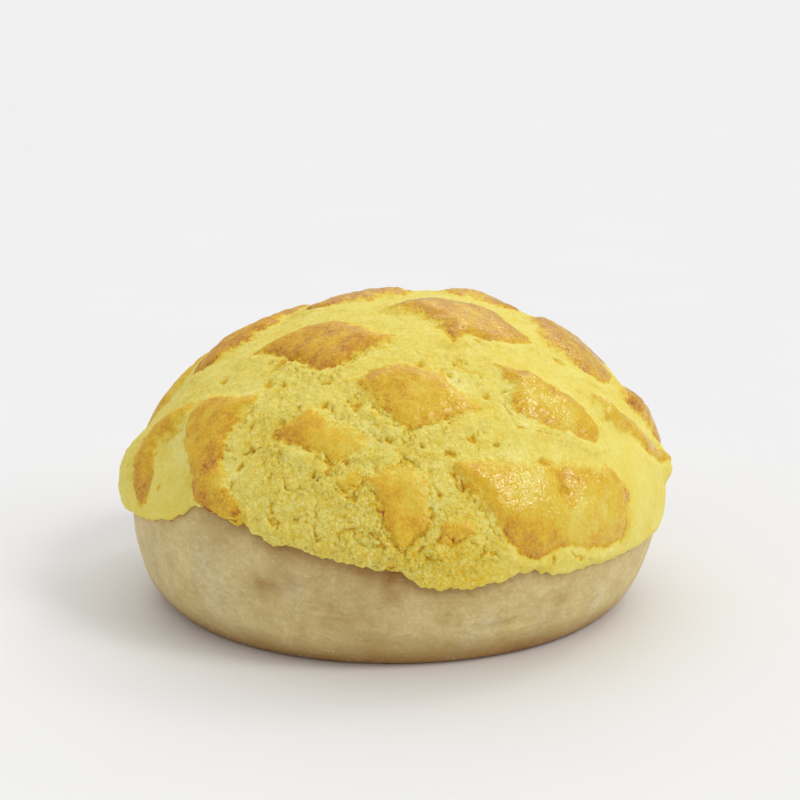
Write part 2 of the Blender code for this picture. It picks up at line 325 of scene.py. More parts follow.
# Cracks and crumbly pits of the shown side, in the chart
crackLines = (
    [(-10.4, -34), (-8, -36.6), (-5.6, -38.4), (-4, -39.8), (-0.8, -42.7), (1.7, -44.5)],
    [(3.6, -44.4), (5.4, -43.6), (8.75, -42.2), (12.5, -41.3)],
    [(-14.6, -36.7), (-12, -39.6), (-8.3, -42.5), (-5.4, -44.6), (-3.3, -46.7)],
    [(18.7, -31.7), (19.4, -35), (20.4, -37.4), (23.3, -38.8), (27, -38.4), (30.4, -37.4), (35, -36)],
    [(-25, -19.8), (-20.5, -24), (-16.7, -26.9), (-14.5, -28.2)],
    [(-13, -29.2), (-10.4, -27.4), (-7.5, -25.2), (-4, -24.6)],
    [(10.4, -51.4), (12.5, -54.2), (17.5, -57), (19, -59.2), (23.3, -60.6)],
    [(-33.8, -37.2), (-31, -41.5), (-28.4, -41.8)],
    [(-23, -50.9), (-20.5, -52.4), (-18, -53)],
    [(-21, -57.5), (-18, -58), (-17.6, -60.4), (-16.6, -62)],
    [(-12, -55.2), (-9, -56), (-7.4, -53.2), (-5.8, -56.6)],
    [(-9.6, -61.6), (-8, -63.8), (-6, -65.2)],
    [(-3.4, -57.6), (-3, -61), (-3.6, -64.4)],
    [(-14.6, -48.4), (-12.8, -49.8), (-10.4, -49.4)],
    [(-6.4, -48.2), (-5, -50.6), (-3.4, -52.2)],
    [(5.2, -65.6), (8.6, -64.2), (10.6, -62), (14, -64.4)],
    [(40.4, -56), (44.5, -54.6), (47.2, -53)],
)
pitPlaces = (
    (2.9, -28.7, 1.3), (8.3, -30.8, 0.7), (15.4, -34.6, 0.9), (18.5, -44.4, 0.9), (28.3, -44.4, 1),
    (9.4, -48, 1.2), (13.3, -53.7, 1.1), (8.3, -56.2, 0.7), (-28.6, -35.8, 1), (-22.5, -29, 0.6),
    (-25.8, -27, 1.3), (-31.7, -44, 0.9), (-29.2, -41.9, 0.8), (-19.8, -35.9, 0.7), (-14.2, -36.6, 0.9),
    (-14.2, -31.3, 0.6), (-10.2, -25.8, 0.7), (-53, -32.7, 0.8), (33.3, -47.3, 1.1), (30, -15.6, 0.9),
    (41, -24.8, 0.8), (13.4, -43.9, 0.7), (-15.6, -47.8, 0.8), (-16.6, -50.8, 0.9), (36.6, -59.8, 1),
    (9.2, -25.6, 0.5), (12.5, -20, 0.5), (3.8, -47.2, 0.5), (-2, -45.8, 0.5), (-34.8, -18.4, 0.9),
)

crust = {
    "steps": 292,  # squares along each side of the grid
    "frontPull": 0.2,  # how far the grid is drawn towards the front
    "rimCrowding": 0.15,  # how much closer the squares lie at the rim
    "undersideRings": 8,
    "undersideGap": 0.1,
    "leastThickness": 1.3,
    "wander": ((5.0, 1.5), (1, 3), (2, 4)),  # slow and quick: sizes, then seeds of each for a and b
    "padWander": (0.9, 0.45),
    "frayWander": (0.8, 0.75, 0.75),
    "valley": -1.05,
    "padRise": 1.7,
    "frontFlatter": 0.35,  # share of the pads' rise that is missing in front
    "padCrown": 0.3,
    "ledge": 0.45,
    "lobeDrop": 1.1,  # how far the bare lobe at the left lies under the pads beside it
    "rimSwell": 1.25,
    "rimSwellWays": (44.0, 72.0),
    "slowWaves": ((0.22, 11.0, 5),),
    "padWaves": ((0.30, 4.5, 6), (0.18, 2.2, 62), (0.07, 1.2, 65)),
    "lipWidth": 2.4,
    "lipThickness": 0.12,
    "frontLip": ((-33, -54, 8, 0.5), (-16, -64, 16, 0.95), (8, -68, 16, 1), (28, -66, 10, 0.5)),
    "crumbLevel": 0.62,
    "crumbWaves": ((0.3, 9.0, 7),),
    "crumbRange": (0.08, 1.35),
    "crumbMore": (
        (-14, -57, 24, 0.45), (8, -66, 14, 0.5), (-30, 45, 26, 0.35), (32, 44, 26, 0.3),
        (54, -30, 20, -0.52), (-55, -36, 13, -0.36), (5, 2, 18, -0.15), (22, -20, 10, -0.18),
    ),
    "crumbOnPads": ((-37, -47, 4.5, 0.75), (13, -61.5, 3, 0.5), (-10, -53, 3.5, 0.6)),
    "clumpSize": 3.3,
    "grainSize": 1.6,
    "lumpHeight": 0.66,
    "lumpsLowerInFront": 0.32,
    "pitSpacing": 3.6,
    "pitDepth": 0.65,
    "crackSpacing": 5.2,
    "crackDepth": 0.34,
    "uneven": (
        (-51, 2, 8, -1.7), (61.5, -10.5, 3.2, 2), (-52, -38, 9, -0.9), (34, -46, 3, -0.9),
        (-6, -50, 7, -0.4), (52, -30, 8, 0.5), (18, 6, 8, 0.4), (68, -3, 8, -1), (-60, -11, 6, 1.5),
        (-2, 6, 7, -0.5), (1.5, -58, 5.5, -0.7), (6, 14, 9, 0.7), (68, 2, 6, -1), (-64, -17, 7, 1),
        (-40, 5, 7, 0.7),
    ),
    "rim": (
        (0, 72), (40, 70), (75, 73), (110, 70), (150, 73), (180, 71), (198, 70), (210, 68.5), (218, 66.5),
        (222, 64.4), (225, 62.4), (230, 62.6), (234, 63.2), (237, 64.2), (239, 63.6), (244, 65.4),
        (247, 66.3), (252, 66.6), (258, 67.6), (266, 69), (271, 69.2), (273, 70.8), (276, 72.2),
        (279, 72.9), (291, 72.7), (294, 71.6), (298, 71.3), (304, 73.2), (316, 73.5), (332, 73.4),
        (343, 73.4), (352, 72.6),
    ),
    "rimWaves": ((0.5, 5.0, 80), (0.55, 1.8, 81), (0.3, 0.8, 82)),
}

# Places that baked darker or paler than their pad, and painted light: the two at a = -43.8 paint the
# left ridge's sheen as paler colour, the one at (16, -70.5) paints shade on the front lip's downward
# face, and the one at (-52, -38) makes the left lobe darker: (a, b, radius, change)
bakeAndPaintedLightPlaces = (
    (-43.8, -24, 3, -0.2), (-43.8, -31, 3, -0.2), (5, -68, 15, 0.03), (16, -70.5, 8, 0.12),
    (29.6, -58.6, 5, 0.07), (-34, -53.5, 2.4, 0.4), (8.6, -21, 2.2, 0.12), (-36.8, -39.4, 2.2, 0.12),
    (23, -51.5, 5.5, -0.2), (38, -50, 5, -0.22), (34, -46.6, 2, 0.2), (28, -50, 4, -0.12),
    (45, -46, 3.5, -0.2), (53, -41.5, 2.6, 0.12), (50, -37, 2.6, 0.14), (14, -50, 3, 0.05),
    (-44.4, -39, 2, 0.1), (2.5, -61, 3, 0.14), (-1, -58, 3.5, 0.08), (5.5, -58, 3, -0.12),
    (-57.5, -27, 4, 0.03), (-35, -44.5, 3, -0.24), (-36.5, -50.5, 2.5, -0.2), (31, -31, 4, -0.2),
    (24, -32, 4, -0.2), (-7, -45, 4, -0.1), (2, -38, 5, -0.06), (-52, -38, 9, 0.05),
    (-23, -39.6, 2.6, 0.14), (9, -33, 3, -0.14), (-30, -28.5, 3, -0.12),
)


def padField(a, b, pads):
    # for each place the pad it lies deepest in: its inside distance, how far it lies from the pad's
    # upper edge (-1) to its lower one (1), and its bake
    inside = np.full(a.shape, -1e9)
    down, bake = np.zeros(a.shape), np.zeros(a.shape)
    for corners, level, (alongA, alongB) in pads:
        distance = outlineDistance(a, b, corners)
        spots = np.array(corners)
        middle = (spots.min(0) + spots.max(0)) / 2
        outwards = middle / np.hypot(*middle)
        reach = (spots - middle) @ outwards
        own = distance > inside
        fall = ((a - middle[0]) * outwards[0] + (b - middle[1]) * outwards[1]) / reach.max()
        baked = level + alongA * (a - middle[0]) / 10 + alongB * (b - middle[1]) / 10
        inside = np.where(own, distance, inside)
        down = np.where(own, np.clip(fall, -1.0, 1.0), down)
        bake = np.where(own, baked, bake)
    return inside, down, bake


def padForm(a, b, way, spots, inside, down, lower):
    # valley + rise (0.25 + 0.8 tilt) on a pad, where the tilt falls from 1 at its upper edge to 0 at its
    # lower one, + a crown towards its middle, a ledge below it, the rim's swell, mounds and dents, waves
    onPad = smoothStep(-1.2 + lower, 3.8 - 2.0 * lower, inside)
    tilt = 0.5 - 0.5 * down
    rise = crust["padRise"] * (1.0 - crust["frontFlatter"] * smoothStep(-20.0, -38.0, b))
    over = crust["valley"] + rise * onPad * (0.25 + 0.8 * tilt)
    over += crust["padCrown"] * smoothStep(0.5, 6.0, inside)
    over += crust["ledge"] * lower * np.exp(-((inside + 1.6) / 1.3) ** 2)
    over += crust["rimSwell"] * smoothStep(*crust["rimSwellWays"], way)
    over += mounds(a, b, crust["uneven"])
    lobe = smoothStep(-42.8, -44.4, a) * smoothStep(-62.0, -54.0, a) * smoothStep(-19.0, -24.0, b)
    over -= crust["lobeDrop"] * lobe
    return over + waves(spots, crust["slowWaves"]) + onPad * waves(spots, crust["padWaves"])


def crumbLumps(spots, wander, fine):
    # clumps of grains: each is raised or sunk as a whole and tilted, and gaps part some of the clumps;
    # the second value is painted shade in these gaps and between grains
    clump, clumpNext, clumpOwner, clumpTilt = cellNoise(spots + 0.8 * wander, crust["clumpSize"], 20)
    grain, _, grainOwner, grainTilt = cellNoise(spots + 0.5 * wander, crust["grainSize"], 30)
    parted = smoothStep(-0.1, 0.45, softNoise(spots, 4.0, 63))
    gap = 1.0 - smoothStep(0.0, 0.26, clumpNext - clump)
    lumps = 0.14 * (clumpOwner - 0.5) + 0.4 * clumpTilt - (0.05 + 0.4 * parted) * gap
    lumps += 0.14 * (grainOwner - 0.5) + 0.3 * grainTilt + 0.12 * (0.6 - grain) + 0.12 * fine
    return lumps, np.clip(0.7 * gap * parted + 0.6 * (grain - 0.45), 0.0, 1.0)


def pitShare(spots, wander, fine, crumb, frayA, frayB):
    # 1 in the middle of a pit and 0 outside it: seeded ones in some cells, and those that show
    pits, _, pitOwner, _ = cellNoise(spots + 0.8 * wander + 0.25 * fine[:, None], crust["pitSpacing"], 40)
    radius = 0.04 + 0.22 * np.clip(pitOwner - 0.55, 0.0, 1.0)
    pit = smoothStep(1.0, 0.3, pits / radius) * (pitOwner > 0.55) * np.clip(crumb * 1.6, 0.0, 1.0)
    for pitA, pitB, radius in pitPlaces:
        distance = np.hypot(frayA - pitA, frayB - pitB) / radius
        pit = np.maximum(pit, smoothStep(1.2, 0.2, distance))
    return pit


def crackDistance(a, spots, wander, crumb, frayA, frayB, inside, lower):
    # millimetres to the nearest crack: a border between cells, a crack that shows, or a pad's lower edge,
    # each made farther where the crust stays whole
    cell, cellSecond, _, _ = cellNoise(spots + 1.2 * wander, crust["crackSpacing"], 50)
    whole = 1.0 - smoothStep(0.0, 0.3, softNoise(spots, 4.5, 60)) * smoothStep(0.4, 0.8, crumb)
    far = (cellSecond - cell) * crust["crackSpacing"] / 2 + 1.2 * whole
    breaks = 0.9 * smoothStep(0.1, 0.5, softNoise(spots, 2.2, 64))
    for line in crackLines:
        far = np.minimum(far, lineDistance(frayA, frayB, line) + breaks)
    torn = smoothStep(-0.15, 0.15, softNoise(spots, 3.0, 61)) * smoothStep(24.0, 14.0, a)
    return np.minimum(far, np.abs(inside + 0.1) + 1.2 * (1.0 - lower * torn))


def crustRelief(way, bearing, spots):
    # height of the crust over the mean form, in millimetres: pads and valleys + crumb lumps - pits
    # - cracks; and what the finish reads: how far a pad and the ground beside it are baked, with a few
    # places painted lighter or darker for sheen and shade, how far the pad covers the ground, its glaze,
    # the millimetres to a crack, painted shade in the hollows, and crumb
    a, b = way * np.cos(bearing), way * np.sin(bearing)
    (slowSize, quickSize), slowSeeds, quickSeeds = crust["wander"]
    swayA, swayB = (softNoise(spots, slowSize, seed) for seed in slowSeeds)
    shakeA, shakeB = (softNoise(spots, quickSize, seed) for seed in quickSeeds)
    slow, quick = crust["padWander"]
    pads = list(padShapes.values()) + latticePads()
    inside, down, padBake = padField(
        a + slow * swayA + quick * shakeA, b + slow * swayB + quick * shakeB, pads)
    lower = smoothStep(-0.05, 0.6, down)
    over = padForm(a, b, way, spots, inside, down, lower)

    crumb = crust["crumbLevel"] + mounds(a, b, crust["crumbMore"]) + waves(spots, crust["crumbWaves"])
    crumb = np.clip(crumb, *crust["crumbRange"]) * (1.0 - 0.9 * smoothStep(-0.1, 1.6, inside))
    crumb = np.maximum(crumb, mounds(a, b, crust["crumbOnPads"]))
    wander = np.stack([softNoise(spots, 1.3, 8 + k) for k in range(3)], -1)
    fine = softNoise(spots, 0.85, 12)
    lumps, hollow = crumbLumps(spots, wander, fine)
    lumpHeight = crust["lumpHeight"] - crust["lumpsLowerInFront"] * smoothStep(-30.0, -46.0, b)
    over += np.minimum(crumb, 1.0) * lumpHeight * lumps

    slow, quick, small = crust["frayWander"]
    frayA = a + slow * swayA + quick * shakeA + small * wander[:, 0]
    frayB = b + slow * swayB + quick * shakeB + small * wander[:, 1]
    pit = pitShare(spots, wander, fine, crumb, frayA, frayB)
    crackFar = crackDistance(a, spots, wander, crumb, frayA, frayB, inside, lower)
    over -= crust["pitDepth"] * pit + crust["crackDepth"] * smoothStep(0.6, 0.1, crackFar)

    streak = softNoise(spots * np.array((1.0, 1.0, 0.45)), 1.6, 70)
    patchy = softNoise(spots, 3.0, 71)
    frayed = inside + (1.0 - 0.4 * lower) * (0.9 * patchy + 0.5 * shakeA + 0.3 * fine)
    cover = smoothStep(-2.0 + 1.2 * lower, 3.4 - 2.6 * lower, frayed)
    pooled = (0.06 - 0.04 * smoothStep(-38.0, -48.0, b)) * np.exp(-((inside - 2.0) / 2.2) ** 2)
    # baked places, among them painted sheen and painted shade
    change = mounds(a, b, bakeAndPaintedLightPlaces)
    bake = padBake + 0.17 * patchy + 0.10 * streak + 0.10 * fine + pooled + change
    ground = np.maximum(0.12 + 0.07 * softNoise(spots, 5.0, 72) + 0.06 * fine, 0.6 * pit) + change
    glaze = smoothStep(-0.2, 1.4, frayed) * (1.0 - pit)
    glaze *= 0.35 + 0.65 * smoothStep(-20.0, 12.0, a + 0.35 * (b + 30.0))
    return over, {
        "bake": np.clip(bake, 0.0, 1.0), "ground": np.clip(ground, 0.0, 1.0), "cover": cover,
        "glaze": glaze, "crackFar": np.minimum(crackFar, 2.0),
        "hollow": hollow * np.clip(crumb, 0.0, 1.0), "crumb": crumb,
    }


def rimWay(bearing):
    # the crust's reach at each bearing: a line through the rim's places, with a crumbly edge
    places = np.array(crust["rim"], dtype=float)
    reach = np.interp(np.degrees(bearing) % 360.0, places[:, 0], places[:, 1], period=360.0)
    ring = np.stack([np.cos(bearing), np.sin(bearing), np.zeros_like(bearing)], -1)
    return reach + waves(ring * bunForm["widestRadius"], crust["rimWaves"])


def discGrid(steps, pull):
    # a square grid wrapped to a disc: the larger of |u|, |v| is the radius, the smaller over the larger
    # turns it by up to 45 degrees; then (z + c) / (1 + conj(c) z) with c = -i pull draws it to the front
    line = np.linspace(-1.0, 1.0, steps + 1)
    u, v = np.meshgrid(line, line)
    wide = np.abs(u) > np.abs(v)
    large, small = np.where(wide, u, v), np.where(wide, v, u)
    turn = small / np.where(large == 0.0, 1.0, large) * math.pi / 4
    x = large * np.where(wide, np.cos(turn), np.sin(turn))
    y = large * np.where(wide, np.sin(turn), np.cos(turn))
    z, c = x + 1j * y, -1j * pull
    z = (z + c) / (1.0 + np.conj(c) * z)
    return z.ravel()


def gridFaces(steps):
    # two triangles a square, cut along the diagonal that runs outwards from the middle
    row = np.arange(steps)
    i, j = (part.ravel() for part in np.meshgrid(row, row))
    corner = j * (steps + 1) + i
    p00, p10, p01, p11 = corner, corner + 1, corner + steps + 1, corner + steps + 2
    rising = (i - (steps - 1) / 2) * (j - (steps - 1) / 2) > 0
    first = np.where(rising[:, None], np.stack([p00, p10, p11], -1), np.stack([p00, p10, p01], -1))
    second = np.where(rising[:, None], np.stack([p00, p11, p01], -1), np.stack([p10, p11, p01], -1))
    return np.concatenate([first, second])


def gridBorder(steps):
    # the grid's outer points in order, turning left round the middle
    side = np.arange(steps)
    row = steps + 1
    return np.concatenate([side, steps + side * row, steps * row + steps - side, (steps - side) * row])


def ringFaces(outer, inner):
    # two triangles between each pair of neighbours on two closed rings, seen from below
    outerNext, innerNext = np.roll(outer, -1), np.roll(inner, -1)
    first, second = np.stack([outer, inner, outerNext], -1), np.stack([outerNext, inner, innerNext], -1)
    return np.concatenate([first, second])


def makePiece(name, points, faces, attributes, smooth=True):
    # one mesh object of triangles, in metres, with its shading and its point attributes, which are 0 on
    # the last points where they run short
    mesh = bpy.data.meshes.new(name)
    mesh.vertices.add(len(points))
    mesh.vertices.foreach_set("co", (points * mm).ravel())
    mesh.loops.add(faces.size)
    mesh.loops.foreach_set("vertex_index", faces.ravel().astype(np.int32))
    mesh.polygons.add(len(faces))
    mesh.polygons.foreach_set("loop_start", np.arange(0, faces.size, 3, dtype=np.int32))
    mesh.update(calc_edges=True)
    mesh.validate()
    if smooth:
        mesh.shade_smooth()
    for key, values in attributes.items():
        values = np.pad(values, (0, len(points) - len(values))).astype(np.float32)
        mesh.attributes.new(key, "FLOAT", "POINT").data.foreach_set("value", values)
    piece = bpy.data.objects.new(name, mesh)
    bpy.context.scene.collection.objects.link(piece)
    print(name, "made:", len(points), "points,", len(faces), "triangles")
    return piece


def makeCrust():
    # the top lies on the chart's disc grid at its relief; near the rim its thickness falls as
    # sqrt(1 - (1 - q)^2), a round lip; rings just over the bread's skin close it underneath
    z = discGrid(crust["steps"], crust["frontPull"])
    out, bearing = np.abs(z), np.angle(z)
    rim = rimWay(bearing)
    way = rim * out * (1.0 + crust["rimCrowding"] * (1.0 - out ** 4))
    spots = onForm(way, bearing, np.zeros_like(way))
    over, looks = crustRelief(way, bearing, spots)
    skin = skinDepth(way, bearing)
    whole = np.maximum(over + skin, crust["leastThickness"])
    overhang = np.minimum(mounds(way * np.cos(bearing), way * np.sin(bearing), crust["frontLip"]), 1.0)
    lip = crust["lipThickness"] + overhang
    q = np.clip((rim - way) / crust["lipWidth"], 0.0, 1.0)
    thickness = lip + (whole - lip) * np.sqrt(1.0 - (1.0 - q) ** 2)
    points = [onForm(way, bearing, thickness - skin)]
    faces = [gridFaces(crust["steps"])]

    ring = gridBorder(crust["steps"])
    ringBearing, ringRim = bearing[ring], rim[ring]
    count = len(way)
    for step in range(1, crust["undersideRings"] + 1):
        inner = ringRim * (1.0 - step / (crust["undersideRings"] + 1)) ** 1.3
        points.append(onForm(inner, ringBearing, crust["undersideGap"] - skinDepth(inner, ringBearing)))
        innerRing = count + np.arange(len(ring))
        faces.append(ringFaces(ring, innerRing))
        ring, count = innerRing, count + len(ring)
    zero = np.zeros(1)
    points.append(onForm(zero, zero, crust["undersideGap"] - skinDepth(zero, zero)))
    faces.append(np.stack([ring, np.full(len(ring), count), np.roll(ring, -1)], -1))
    return makePiece("crumbly_crust", np.concatenate(points), np.concatenate(faces), looks)


looseCrumbs = {
    "tries": 70000,
    "most": 16000,
    "size": 0.28,  # half a crumb's length in millimetres, on average
    "sizeSpread": 0.3,
    "flatness": (1.0, 0.8, 0.65),
    "ragged": 0.35,
    "sunk": 0.55,
    "fromRim": 0.6,
    "crumbFrom": 0.6,
    "crumbTo": 1.8,
    "tone": (-0.02, 0.12),
    "seed": 11,
}


def makeLooseCrumbs():
    # crumbs that stand out of the crumbly ground: cubes with their corners pulled about, turned at random
    # (a unit quaternion made a matrix), thrown evenly over the dome and kept where the crust is crumbly
    draw = np.random.default_rng(looseCrumbs["seed"])
    bearing = draw.uniform(-math.pi, math.pi, looseCrumbs["tries"])
    rim = rimWay(bearing) - looseCrumbs["fromRim"]
    way = rim * np.sqrt(draw.uniform(0.0, 1.0, looseCrumbs["tries"]))
    spots = onForm(way, bearing, np.zeros_like(way))
    over, looks = crustRelief(way, bearing, spots)
    even = np.interp(way, profileWay, profileR) / way
    wanted = even * smoothStep(looseCrumbs["crumbFrom"], looseCrumbs["crumbTo"], looks["crumb"])
    kept = np.flatnonzero(draw.uniform(0.0, 1.0, looseCrumbs["tries"]) < wanted)[:looseCrumbs["most"]]
    count = len(kept)
    size = looseCrumbs["size"] * np.exp(looseCrumbs["sizeSpread"] * draw.normal(size=count))
    middle = onForm(way[kept], bearing[kept], over[kept] - looseCrumbs["sunk"] * size)

    w, x, y, z = draw.normal(size=(4, count))
    long = w * w + x * x + y * y + z * z
    turn = np.stack([
        w * w + x * x - y * y - z * z, 2 * (x * y - w * z), 2 * (x * z + w * y),
        2 * (x * y + w * z), w * w - x * x + y * y - z * z, 2 * (y * z - w * x),
        2 * (x * z - w * y), 2 * (y * z + w * x), w * w - x * x - y * y + z * z,
    ], -1).reshape(count, 3, 3) / long[:, None, None]
    cube = np.array(list(itertools.product((-1.0, 1.0), repeat=3))) * 0.7
    corners = cube + looseCrumbs["ragged"] * draw.uniform(-1.0, 1.0, (count, 8, 3))
    corners = corners * np.array(looseCrumbs["flatness"]) * size[:, None, None]
    points = middle[:, None, :] + np.einsum("nij,nkj->nki", turn, corners)
    sides = np.array([(0, 1, 3), (0, 3, 2), (4, 7, 5), (4, 6, 7), (0, 5, 1), (0, 4, 5),
                      (2, 3, 7), (2, 7, 6), (0, 2, 6), (0, 6, 4), (1, 5, 7), (1, 7, 3)])
    faces = (np.arange(count) * 8)[:, None, None] + sides
    ground = np.clip(looks["ground"][kept] + draw.uniform(*looseCrumbs["tone"], count), 0.0, 1.0)
    flat = dict.fromkeys(looks, np.zeros(count))
    flat.update(ground=ground, bake=ground, crackFar=np.full(count, 2.0), crumb=looks["crumb"][kept])
    return makePiece("loose_crumbs", points.reshape(-1, 3), faces.reshape(-1, 3),
                     {key: np.repeat(values, 8) for key, values in flat.items()}, smooth=False)


bread = {
    "bearings": 720,
    "hiddenRings": 10,
    "shownFrom": 60.0,
    "shownRings": 88,
    "groove": 0.7,
    # how much darker the skin is painted towards the foot: partly a browned base, partly painted shade
    "footBrowningAndShade": 0.85,
    "skinWaves": ((0.35, 17.0, 90), (0.14, 6.0, 91), (0.045, 2.1, 92), (0.03, 0.9, 93)),
    "foldWander": ((0.8, 4.0, 94),),
    "folds": (
        ([(-31.5, -70.5), (-26, -72.5), (-20, -73.8), (-14, -75.4)], 0.30, 1.1),
        ([(-21, -76.8), (-14, -78.2), (-6, -79.4)], 0.26, 1.0),
        ([(-36, -64.5), (-30, -66.5)], 0.18, 1.3),
        ([(24, -78.4), (31, -75.8), (38, -72.2)], 0.28, 1.2),
        ([(47, -68.5), (54, -62.5), (60, -56)], 0.18, 1.4),
        ([(-10, -83), (0, -84.4), (12, -83.4)], 0.2, 1.6),
        ([(-30, 72), (-20, 75.4), (-8, 77)], 0.28, 1.2),
        ([(20, 77), (30, 73.6), (40, 68)], 0.24, 1.3),
        ([(-78, 12), (-78.6, 2), (-77, -10)], 0.24, 1.2),
        ([(76, 22), (72, 34), (66, 45)], 0.26, 1.3),
    ),
    # toasted spots and smudges; those just under the front rim paint the shadow under the crust's lip
    "toasted": (
        (-34.5, -65.6, 2.4, 0.45), (-32, -66.8, 2.6, 0.5), (-28, -67.8, 2.6, 0.5), (-25, -68.8, 2.2, 0.3),
        (-42, -50.5, 5, 0.3), (-24, -62.5, 4.5, 0.35), (0, -71, 4, 0.9), (-6.5, -69.5, 3, 0.5),
        (-12, -79, 5, 0.22), (47, -62.5, 3, 0.35), (47.5, -77, 6, 0.25), (-5, -82, 7, 0.2),
        (-17, -76.2, 3, 0.2), (-20, 74, 5, 0.3), (14, 76, 4, 0.5), (48, 60, 4, 0.3), (-74, 18, 4, 0.4),
        (-56, 50, 5, 0.3), (78, 4, 4, 0.35),
    ),
    # paler places; those on the folds at the right front paint glints
    "pale": (
        (-50, -60, 8, 0.5), (45, -70, 3, 0.5), (62, -53, 3.5, 0.7), (28.5, -76, 3, 0.6),
        (-25, -69.5, 3, 0.4), (24, -80, 3, 0.5), (-48, -53.5, 2, 0.5), (-36, 68, 5, 0.5),
        (28, 74, 4, 0.5), (66, 42, 6, 0.5), (-78, -2, 5, 0.5),
    ),
}


def makeBread():
    # rings round the skin from the top to the foot's edge, closed by one point at each end; the shown
    # side has slow waves, shallow folds beside a low ridge, and a fine uneven skin
    ways = np.concatenate([
        np.linspace(0.0, bread["shownFrom"], bread["hiddenRings"] + 1)[1:-1],
        np.linspace(bread["shownFrom"], wholeWay, bread["shownRings"]),
    ])
    bearings = np.arange(bread["bearings"]) * 2 * math.pi / bread["bearings"]
    way, bearing = (part.ravel() for part in np.meshgrid(ways, bearings, indexing="ij"))
    a, b = way * np.cos(bearing), way * np.sin(bearing)
    spots = onForm(way, bearing, np.zeros_like(way))
    shown = smoothStep(66.0, 74.0, way) * (1.0 - smoothStep(86.0, 91.0, way))
    rise = waves(spots, bread["skinWaves"])
    wobble = waves(spots, bread["foldWander"])
    for line, depth, width in bread["folds"]:
        distance = lineDistance(a + wobble, b + wobble, line) / width
        rise += depth * (0.5 * np.exp(-((distance - 1.3) / 0.8) ** 2) - np.exp(-distance ** 2))
    belowRim = way - rimWay(bearing)
    overhang = np.minimum(mounds(a, b, crust["frontLip"]), 1.0)
    groove = bread["groove"] * overhang * np.exp(-((belowRim - 0.2) / 1.5) ** 2)
    points = onForm(way, bearing, rise * shown - groove - skinDepth(way, bearing))
    last = way > wholeWay - 1e-6
    points[last, 2] = 0.0
    points[:, 2] = np.maximum(points[:, 2], 0.0)
    # toasted spots and smudges with painted shadow just under the front rim, and darker towards the foot:
    # partly a browned base, partly painted shade
    toasted = mounds(a, b, bread["toasted"]) * (0.8 + 0.5 * softNoise(spots, 2.5, 95))
    toasted += bread["footBrowningAndShade"] * smoothStep(82.0, 91.0, way)
    # painted shadow on the skin under the crust's rim, deeper and wider where the lip overhangs
    underRim = (0.4 + 0.5 * overhang) * np.exp(-np.clip(belowRim, 0.0, 9.0) / (0.9 + 0.9 * overhang))
    looks = {"toasted": np.clip(toasted, 0.0, 1.0), "underRim": underRim,
             "pale": np.clip(mounds(a, b, bread["pale"]), 0.0, 1.0)}

    rings, size = len(ways), bread["bearings"]
    faces = []
    for k in range(rings - 1):
        faces.append(ringFaces((k + 1) * size + np.arange(size), k * size + np.arange(size))[:, ::-1])
    top, foot = rings * size, rings * size + 1
    first, lastRing = np.arange(size), (rings - 1) * size + np.arange(size)
    faces.append(np.stack([first, np.roll(first, -1), np.full(size, top)], -1))
    faces.append(np.stack([np.roll(lastRing, -1), lastRing, np.full(size, foot)], -1))
    zero = np.zeros(1)
    topPoint = onForm(zero, zero, -skinDepth(zero, zero))
    footPoint = np.array([[-bunForm["boxMiddle"][0], -bunForm["boxMiddle"][1], 0.0]])
    points = np.concatenate([points, topPoint, footPoint])
    return makePiece("soft_bread", points, np.concatenate(faces), looks)


def socketNamed(sockets, name):
    # the socket of this name that is in use, as some nodes have several
    return next(socket for socket in sockets if socket.name == name and socket.enabled)


class Wire:
    # one socket of a material; + - * with a wire or a number add Math nodes
    def __init__(self, paint, socket):
        self.paint, self.socket = paint, socket

    def math(self, operation, *others):
        values = dict(enumerate((self,) + others))
        return self.paint.node("ShaderNodeMath", {"operation": operation}, values).out("Value")

    def __add__(self, other):
        return self.math("ADD", other)

    def __sub__(self, other):
        return self.math("SUBTRACT", other)

    def __mul__(self, other):
        return self.math("MULTIPLY", other)

    def __rsub__(self, other):
        return (self * -1.0) + other

    __radd__ = __add__
    __rmul__ = __mul__

    def clamp(self):
        return self.paint.node("ShaderNodeClamp", {}, {"Value": self}).out("Result")

    def between(self, low, high):
        # smooth rise from 0 at low to 1 at high
        return self.paint.node("ShaderNodeMapRange", {"interpolation_type": "SMOOTHSTEP"}, {
            "Value": self, "From Min": low, "From Max": high}).out("Result")


class NodeOut:
    # a node just made, asked for its sockets by name
    def __init__(self, paint, made):
        self.paint, self.made = paint, made

    def out(self, name):
        return Wire(self.paint, socketNamed(self.made.outputs, name))


